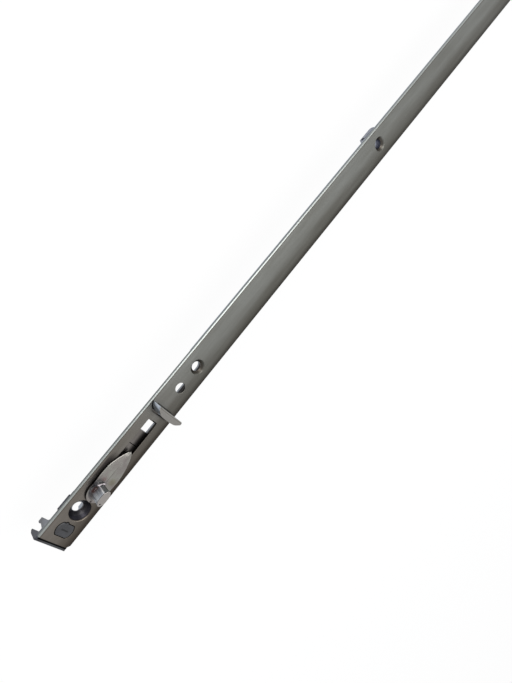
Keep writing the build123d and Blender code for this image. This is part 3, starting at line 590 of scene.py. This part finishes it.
# A flat bar along X with round top edges and holes, as one closed shell. Each hole has its own panel: the
# loop round the panel is joined to the hole's rim along rays from the hole's middle, the rim goes down the
# hole's wall profile of (outward step, z), and the same rays lead back to the panel's loop on the underside.
def plateSheets(values, holes):
    x0, x1, y0, y1 = values["x0"], values["x1"], values["y0"], values["y1"]
    top, low, radius = values["top"], values["low"], values["edgeRadius"]
    middle, half = (y0 + y1) / 2, (y1 - y0) / 2
    flatHalf = half - radius
    across = np.linspace(-1, 1, values["points"])
    chamfer, chamferReach = values["chamfer"]
    endRound, crown = values["endRound"], values["crown"]

    # the top falls off with the square of the way from its middle, and by a quarter circle at both ends
    def height(x, y):
        fromEnd = np.minimum(np.minimum(x - x0, x1 - x), endRound)
        drop = endRound - np.sqrt(np.maximum(endRound ** 2 - (endRound - fromEnd) ** 2, 0))
        return top - crown * ((y - middle) / half) ** 2 - drop

    # near the two corners on the -Y side points move in by the chamfer, less and less over its reach
    def cutCorner(points):
        fromEnd = np.minimum(points[..., 0] - x0, x1 - points[..., 0])
        share = np.clip((y0 + chamferReach - points[..., 1]) / chamferReach, 0, 1)
        points[..., 1] += np.maximum(chamfer - fromEnd, 0) * share
        return points

    sheets, sideXs = [], []
    plain, panels = splitLength(x0, x1, chamfer, endRound, holes)
    for start, end in plain:
        xs = np.array([start, end])
        sideXs.append(xs)
        for z, reach in ((None, flatHalf), (low, half)):
            grid = np.zeros((2, len(across), 3))
            grid[..., 0] = xs[:, None]
            grid[..., 1] = middle + across * reach
            grid[..., 2] = height(grid[..., 0], grid[..., 1]) if z is None else z
            sheets.append(gridSheet(cutCorner(grid)))
    for start, end, hole in panels:
        rim = hole["rim"]
        xs = np.linspace(start, end, hole.get("points", values["points"]))
        sideXs.append(xs)
        loopX = np.concatenate([xs[:-1], np.full(len(across) - 1, end), xs[::-1][:-1],
                                np.full(len(across) - 1, start)])
        loopV = np.concatenate([np.full(len(xs) - 1, -1.0), across[:-1], np.full(len(xs) - 1, 1.0),
                                across[::-1][:-1]])
        outerTop = np.stack([loopX, middle + loopV * flatHalf], 1)
        outerLow = np.stack([loopX, middle + loopV * half], 1)
        centre = (rim.min(0) + rim.max(0)) / 2
        size = (rim.max(0) - rim.min(0)) / 2
        rimAngle, loopAngle = anglesAbout(centre, size, rim), anglesAbout(centre, size, outerTop)
        order = np.argsort(rimAngle)
        onRim, step = (np.stack([np.interp(loopAngle, rimAngle[order], source[order, k], period=2 * np.pi)
                                 for k in (0, 1)], 1) for source in (rim, outwards(rim)))
        rimHeight = height(onRim[:, 0], onRim[:, 1])
        lip = hole.get("lip", values["lip"])
        first = onRim + step * lip[0][0]
        rows = []
        for share in (0, 0.25, 0.5, 0.7, 0.85, 0.95):  # from the loop in to the lip, closer as they near it
            plan = outerTop + (first - outerTop) * share
            rows.append(np.column_stack([plan, height(plan[:, 0], plan[:, 1])]))
        for move, z in lip:
            rows.append(np.column_stack([onRim + step * move, rimHeight + z]))
        for move, z in hole["wall"]:
            rows.append(np.column_stack([onRim + step * move, np.full(len(onRim), z)]))
        last = rows[-1][:, :2]
        for share in (0.3, 1.0):  # and back out below
            plan = last + (outerLow - last) * share
            rows.append(np.column_stack([plan, np.full(len(plan), low)]))
        sheets.append(gridSheet(cutCorner(np.array(rows)), closed=True))
    xs = np.unique(np.round(np.concatenate(sideXs), 6))
    bend = np.linspace(0, np.pi / 2, values["edgePoints"])
    base = top - radius
    for side in (1, -1):
        rise = height(xs, middle + side * flatHalf) - base
        rows = []
        for turn in bend:
            y = np.full(len(xs), middle + side * (flatHalf + radius * np.sin(turn)))
            rows.append(np.column_stack([xs, y, base + rise * np.cos(turn)]))
        rows.append(np.column_stack([xs, np.full(len(xs), middle + side * half), np.full(len(xs), low)]))
        sheets.append(gridSheet(cutCorner(np.array(rows))))
    over, up = radius * np.sin(bend[1:]), np.cos(bend[1:])
    for x in (x0, x1):
        rise = height(x, middle + flatHalf) - base
        y = np.concatenate([middle + across * flatHalf, middle + flatHalf + over,
                            middle + across[::-1] * half, middle - flatHalf - over[::-1]])
        z = np.concatenate([height(x, middle + across * flatHalf), base + rise * up,
                            np.full(len(across), low), base + rise * up[::-1]])
        sheets.append(capSheet(cutCorner(np.column_stack([np.full(len(y), x), y, z]))))
    return sheets


print("faceplate")
faceplate = {
    "x0": -0.4, "x1": faceLength + 0.4,  # 0.4 past the CAD at each end, for a narrow gap to the bracket
    "y0": -8.0, "y1": 8.0, "top": 0.0, "low": -1.5, "edgeRadius": 0.7, "endRound": 0.1, "crown": 0.12,
    "chamfer": (1.3, 2.0),  # its size, and how far it reaches along Y
    "points": 25, "edgePoints": 7,  # along each edge of a hole's panel, and round a long edge
    "lip": ((0.08, 0), (0.024, -0.024), (0, -0.08)),  # a hole's edge: (outward step, drop)
    "slots": ((23.8, 62.7), (870.7, 905.9)), "slotWidth": 5.3, "slotCorner": 0.6,
    "sightHole": (81.1, 2.5),
    "screwHoles": (93.2, 240.9, 430.0, 759.6, 985.7, 1132.0), "studs": (548.0, 652.0),
    "screw": (2.3, 3.6), "stud": (2.47, 3.72),  # radius of the bore and of the countersink
    "screwLip": ((0.03, 0), (0.01, -0.01), (0, -0.03)),
    # the end screw's dimple, drawn down with a soft lip
    "dimpleRadius": 4.65,
    "dimpleLip": ((0.7, 0), (0.45, -0.04), (0.2, -0.14), (0.05, -0.3), (-0.02, -0.5)),
    "dimpleWall": ((-0.35, -0.9), (-1.3, -2.1), (-2.2, -3.1), (-2.3, -3.3), (-2.3, -4.2), (-1.35, -4.2),
                   (-1.35, -3.2), (-0.02, -1.5)),
}
lug = {
    "x": 69.7,
    # (depth towards -X, y)
    "outline": ((0, 7.1), (1.35, 6.3), (2.35, 5.25), (3.05, 4.0), (3.25, 1.8), (3.25, -0.8), (3.15, -2.8),
                (2.85, -4.7), (2.0, -6.3), (1.3, -7.3)),
    "top": 7.4, "bevel": 0.5, "ease": 0.1,
    "tongueY": -6.6,  # from here to +Y the blade goes down through the faceplate
    "windowGrowth": (1.2, 1.02),
}
button = {
    "radius": 3.95, "flatHalf": 2.95, "gap": 0.2,
    "key": (0.45, 1.0, 0.45),  # its reach, y and half width
    # (share of the outline, z): a soft shoulder, then a shallow dish
    "rings": ((1.0, -1.5), (1.0, -0.15), (0.975, 0.0), (0.93, 0.16), (0.87, 0.27), (0.83, 0.3), (0.76, 0.25),
              (0.45, 0.2), (0.02, 0.19)),
    "flange": ((3.3, -3.4), (3.3, -2.6), (2.4, -2.6), (2.4, -1.5)),
    "mark": (0.34, 1.7, 0.3, (0.1, 0.215)),  # half width, half length, corner, and z of its foot and top
}


# the disc with two flats and its key, as a closed line about (x, 0)
def buttonRim(x, gap, side):
    disc = circleRim(0, 0, button["radius"] + gap, count=720)
    flat = button["flatHalf"] + gap
    disc[:, 0] = np.clip(disc[:, 0], -flat, flat)
    reach, keyY, keyHalf = button["key"]
    onKey = (disc[:, 0] > 0) & (np.abs(disc[:, 1] - keyY) < keyHalf + gap)
    disc[onKey, 0] += reach
    disc[:, 0] = x + side * disc[:, 0]
    return disc


# the window round the blade: its outline grown, up to where its tongue ends
def windowRim(values):
    growX, growY = values["windowGrowth"]
    curve = smoothLine([(values["x"] - depth * growX, y * growY) for depth, y in values["outline"]],
                       perSpan=12)
    curve = curve[curve[:, 1] >= values["tongueY"] * growY]
    return resample(np.vstack([curve, [(values["x"], curve[-1, 1])]]), count=400)


def faceplateHoles(values):
    through = ((0, values["low"]),)
    holes = []
    for side, buttonAt, screwAt in ((1, buttonX, endScrewX),
                                    (-1, faceLength - buttonX, faceLength - endScrewX)):
        holes.append({"rim": buttonRim(buttonAt, button["gap"], side), "wall": through, "margin": 1.2,
                      "points": 60})
        holes.append({"rim": circleRim(screwAt, 0, values["dimpleRadius"]), "lip": values["dimpleLip"],
                      "wall": values["dimpleWall"], "margin": 1.6, "points": 40})
    half = values["slotWidth"] / 2
    for start, end in values["slots"]:
        rim = boxRim(start, end, lineY - half, lineY + half, values["slotCorner"], cornerCount=10, count=800)
        holes.append({"rim": rim, "wall": through, "margin": 1.3, "points": 120})
    holes.append({"rim": windowRim(lug), "wall": through, "margin": 1.2, "points": 30})
    x, radius = values["sightHole"]
    holes.append({"rim": circleRim(x, 0, radius), "wall": through, "margin": 4.0})
    for xs, (bore, head) in ((values["screwHoles"], values["screw"]), (values["studs"], values["stud"])):
        sink = bore - head
        for x in xs:
            holes.append({"rim": circleRim(x, 0, head), "lip": values["screwLip"],
                          "wall": ((sink, sink), (sink, values["low"])), "margin": 4.0})
    return sorted(holes, key=lambda hole: hole["rim"][:, 0].min())


makePiece("stripFace", plateSheets(faceplate, faceplateHoles(faceplate)), "satinStrip", "forend",
          ["faceplate"])

print("lift lug")


# The blade: for each y its straight side stands at x, the other at x - depth(y); a section goes up the
# curved side, over the rounded edge, across the top and down the bevel and the straight side.
def lugSheets(values):
    curve = smoothLine(values["outline"], perSpan=10)
    depth, y = curve[:, 0], curve[:, 1]
    x, top, bevel, ease = values["x"], values["top"], values["bevel"], values["ease"]
    fade = np.minimum(depth / (3 * ease), 1)  # the rounding dies out where the blade thins to nothing
    columns = [np.column_stack([x - depth, y, np.zeros(len(y))])]
    # (share of the depth, step in, drop)
    for share, move, drop in ((1.0, 0, ease), (1.0, 0.3 * ease, 0.3 * ease), (1.0, ease, 0), (0.7, 0, 0),
                              (0.4, 0, 0)):
        reach = np.maximum(depth * share - move, 0)
        columns.append(np.column_stack([x - reach, y, top - drop * fade - np.maximum(bevel - reach, 0)]))
    reach = np.minimum(depth, bevel)
    columns.append(np.column_stack([x - reach, y, top - np.maximum(bevel - reach, 0)]))
    for z in (top - bevel, 0):
        columns.append(np.column_stack([np.full(len(y), x), y, np.full(len(y), z)]))
    rows = np.stack(columns, 1)
    foot = rows[:, [0, -1]].copy()
    rowsInTongue = np.count_nonzero(foot[:, 0, 1] >= values["tongueY"])
    tongue = foot[:rowsInTongue]
    ring = np.concatenate([tongue[:, 0], tongue[::-1, 1]])
    ringLow = ring.copy()
    ringLow[:, 2] = faceplate["low"]
    sheets = [gridSheet(rows), capSheet(rows[-1]), gridSheet(foot[rowsInTongue - 1:])]
    return sheets + [gridSheet(np.stack([ring, ringLow]), closed=True), capSheet(ringLow)]


makePiece("lugBlade", lugSheets(lug), "bladeZinc", "forend", ["lift_lug"], sharp=32)

print("cam shoe")
shoe = {
    "endX": 25.3, "endRadius": 4.7, "tipX": 46.8,
    # (x, half width) from the round end to the tip
    "side": ((25.3, 4.7), (27.4, 4.88), (29.3, 4.87), (31.2, 4.95), (33.3, 5.05), (36.7, 4.68), (40.0, 3.8),
             (43.2, 2.62), (45.4, 1.5), (46.3, 0.85), (46.8, 0.0)),
    "base": 0.1, "edge": 1.18, "ridge": 1.55, "ease": 0.26, "easeHeight": 0.14,
    "points": 81, "endPoints": 26,  # across its top, and round half of its round end
    "endSwell": 0.16,  # how far the round end's middle stands above its edge
    "tipFall": 2.5,  # the ridge falls to the edge over this length
    # the oval well: middle x, reach to -X, +X and sideways, height of its floor, width of its slope
    "wellX": 25.7, "wellReach": (4.5, 3.9, 5.2), "wellFloor": 0.93, "wellSlope": 0.45,
    "leaf": (29.4, 32.0),  # where the ridge starts and where it is full
    # the valley: x at its middle, how far it sweeps back sideways, half width, depth, and the least x
    "valley": (30.3, 0.5, 0.7, 0.14, 26.0),
    # the straight bead beside the cam: its two ends, half width, top, and half length as a share
    "bead": ((28.0, 2.33), (30.05, -0.35), 0.3, 1.58, 0.55),
    "score": (0.05, 0.1),  # the line along the ridge: depth and half width
    "narrower": (0.1, 33.5, 40.0),  # share taken off the +Y half, and where that starts and stops fading
    "bend": (0.4, 34.0),  # how far the leaf's tip bends towards -Y, and from where
    "key": (24.0, 44.5, 2.5, 0.3, (0.3, -1.6)),  # its ends, half width, corner, and z of its top and foot
}


# 0 to 1 with level ends
def smooth(t):
    t = np.clip(t, 0, 1)
    return t * t * (3 - 2 * t)


# 1 in the middle, falling off on both sides, with a flatter top for a higher power
def bell(t, power=2):
    return np.exp(-t ** power)


# Half width is the round end's circle, then a smooth line to the tip. The top falls from a ridge to the
# edges. The well is an oval whose reach is told from 0 at its middle to 1 at its rim: flat to 1 - slope,
# then a smooth rise, with a bead just outside. A valley dips between the well and the ridge.
def shoeSheets(values):
    side = smoothLine(values["side"], perSpan=10)
    turn = np.linspace(0, np.pi / 2, values["endPoints"])
    x = np.concatenate([values["endX"] - values["endRadius"] * np.cos(turn), side[1:, 0]])
    width = np.concatenate([values["endRadius"] * np.sin(turn), side[1:, 1]])
    across = np.linspace(-1, 1, values["points"])
    ease = np.minimum(values["ease"], width)
    y = across[None, :] * (width - ease)[:, None]
    gridX = np.repeat(x[:, None], len(across), 1)
    share = np.abs(y) / np.maximum(width[:, None], 1e-6)  # 0 along the middle, 1 at the edges

    leafStart, leafFull = values["leaf"]
    inLeaf = smooth((gridX - leafStart) / (leafFull - leafStart))
    edge, floor, slope = values["edge"], values["wellFloor"], values["wellSlope"]
    crest = edge + (values["ridge"] - edge) * (1 - share) * inLeaf
    crest += values["endSwell"] * (1 - inLeaf) * (1 - share ** 2)
    valleyX, sweep, valleyHalf, valleyDepth, leastX = values["valley"]
    crest -= valleyDepth * bell((gridX - valleyX + sweep * np.abs(y)) / valleyHalf) * (gridX > leastX)
    crest = edge + (crest - edge) * smooth((values["tipX"] - gridX) / values["tipFall"])

    back, forth, sideways = values["wellReach"]
    away = gridX - values["wellX"]
    reach = np.hypot(np.where(away < 0, away / back, away / forth), y / sideways)
    z = floor + (crest - floor) * smooth((reach - 1 + slope) / slope)

    (beadX, beadY), (beadEndX, beadEndY), beadHalf, beadTop, beadReach = values["bead"]
    runX, runY = beadEndX - beadX, beadEndY - beadY
    run = np.hypot(runX, runY)
    aside = ((gridX - beadX) * runY - (y - beadY) * runX) / run
    along = ((gridX - beadX) * runX + (y - beadY) * runY) / run ** 2
    z += (beadTop - z) * bell(aside / beadHalf) * bell((along - 0.5) / beadReach, power=6)
    scoreDepth, scoreHalf = values["score"]
    z -= scoreDepth * bell(y / scoreHalf) * inLeaf

    topRows = np.stack([gridX, lineY + y, z], -1)
    columns = []
    for sign, rim in ((-1, z[:, 0]), (1, z[:, -1])):
        for move, sideZ in ((1.0, np.full(len(x), values["base"])), (1.0, rim - values["easeHeight"]),
                            (0.7, rim - 0.3 * values["easeHeight"])):
            sideY = lineY + sign * (width - ease + ease * move)
            columns.append(np.column_stack([x, sideY, sideZ])[:, None, :])
    rows = np.concatenate([*columns[:3], topRows, *columns[3:][::-1]], 1)

    # its +Y half is a little narrower up to the leaf's middle, and the leaf's line bends towards -Y
    narrower, fadeStart, fadeEnd = values["narrower"]
    bend, bendStart = values["bend"]
    out = rows[..., 1] - lineY
    out *= 1 - narrower * (out > 0) * (1 - smooth((rows[..., 0] - fadeStart) / (fadeEnd - fadeStart)))
    rows[..., 1] = lineY + out - bend * smooth((rows[..., 0] - bendStart) / (values["tipX"] - bendStart))
    keyStart, keyEnd, keyHalf, keyCorner, keyZs = values["key"]
    keyRim = boxRim(keyStart, keyEnd, lineY - keyHalf, lineY + keyHalf, keyCorner, cornerCount=6, count=80)
    return [gridSheet(rows), gridSheet(rows[:, [0, -1]])] + stackSheets([(keyRim, z) for z in keyZs])


makePiece("leafShoe", shoeSheets(shoe), "shoeZinc", "rod", ["cam_shoe"], sharp=50)

print("cams")
cam = {
    "flat": (3.4, 1.65), "cut": (1.38, 1.05), "corner": 0.22,  # the shank: half sizes, cut corners, rounding
    "oval": (3.65, 1.75), "mix": (0.45, 0.58),  # the cap is this much of an oval and this much of the shank
    "foot": 0.95, "capUnder": 6.6, "top": 7.7, "capBevel": 0.06, "rays": 96,
    "spigot": (1.8, -0.4),  # radius and foot
    "dot": (-2.5, 0.35, (-0.05, 0.004)),  # x from the axis, radius, and z of its foot and top from the cam's
}


# a closed outline with each corner cut back by a length and bent round as a parabola
def roundCorners(corners, back, count=5):
    before, after = np.roll(corners, 1, 0) - corners, np.roll(corners, -1, 0) - corners
    before *= back / np.linalg.norm(before, axis=1)[:, None]
    after *= back / np.linalg.norm(after, axis=1)[:, None]
    t = np.linspace(0, 1, count)[None, :, None]
    bend = (1 - t) ** 2 * (corners + before)[:, None] + 2 * t * (1 - t) * corners[:, None]
    return (bend + t ** 2 * (corners + after)[:, None]).reshape(-1, 2)


# Sections from the foot up: an eight-sided shank, then an oval cap. The points of every section lie on
# the same rays from the axis.
def camSheets(x, values):
    (a, b), (cutX, cutY) = values["flat"], values["cut"]
    corners = [(a, b - cutY), (a - cutX, b), (cutX - a, b), (-a, b - cutY), (-a, cutY - b), (cutX - a, -b),
               (a - cutX, -b), (a, cutY - b)]
    shank = roundCorners(np.array(corners), values["corner"])
    angle = np.arctan2(shank[:, 1], shank[:, 0])
    keep = np.linspace(-np.pi, np.pi, values["rays"], endpoint=False)
    keep = np.unique(np.round(np.concatenate([keep, angle]), 5))
    order = np.argsort(angle)
    shank = np.stack([np.interp(keep, angle[order], shank[order, k], period=2 * np.pi) for k in (0, 1)], 1)
    ray = np.stack([np.cos(keep), np.sin(keep)], 1)
    halfLength, halfWidth = values["oval"]
    ovalShare, shankShare = values["mix"]
    oval = ray / np.hypot(ray[:, 0] / halfLength, ray[:, 1] / halfWidth)[:, None]
    cap = ovalShare * oval + shankShare * shank
    foot, under, top, bevel = values["foot"], values["capUnder"], values["top"], values["capBevel"]
    inner = cap * (1 - bevel / halfWidth)
    spigotRadius, spigotFoot = values["spigot"]
    pin = ray * spigotRadius
    sections = ((pin, spigotFoot), (pin, foot), (shank, foot), (shank, under), (cap, under),
                (cap, top - bevel), (cap * 0.3 + inner * 0.7, top - 0.3 * bevel), (inner, top),
                (inner * 0.5, top))
    return stackSheets([(outline + (x, lineY), z) for outline, z in sections])


for body, node, name, x in (("lower_cam", "lock_cam", "lockCam", lowerCamX),
                            ("middle_cam", "mid_cam", "midCam", middleCamX)):
    makePiece(name + "Oval", camSheets(x, cam), "camZinc", body, [node], sharp=25)
    # the cam's dot, a near-black piece of painted shade
    dotX, dotRadius, dotZs = cam["dot"]
    dotSheets = pinSheets(x + dotX, lineY, [(dotRadius, cam["top"] + z) for z in dotZs], count=20)
    makePiece(name + "Dot", dotSheets, "paintedRecessShade", body)

print("end buttons")


# rings of the button's outline, each drawn in towards its middle, on a round flange
def buttonSheets(x, side, values):
    rim = resample(buttonRim(x, 0.0, side), count=160)
    centre = np.array([x, 0.0])
    rings = [(centre + (rim - centre) * share, z) for share, z in values["rings"]]
    return stackSheets(rings) + pinSheets(x, 0, values["flange"])


# the button's mark, a near-black piece of painted shade for its slot
def markSheets(x, values):
    halfWidth, halfLength, corner, zs = values["mark"]
    rim = boxRim(x - halfWidth, x + halfWidth, -halfLength, halfLength, corner, cornerCount=6, count=64)
    return stackSheets([(rim, z) for z in zs])


for end, x, side in (("lower", buttonX, 1), ("upper", faceLength - buttonX, -1)):
    makePiece("button" + end.title(), buttonSheets(x, side, button), "mouldedNylon", "forend",
              ["end_button_" + end])
    makePiece("buttonMark" + end.title(), markSheets(x, button), "paintedRecessShade", "forend")
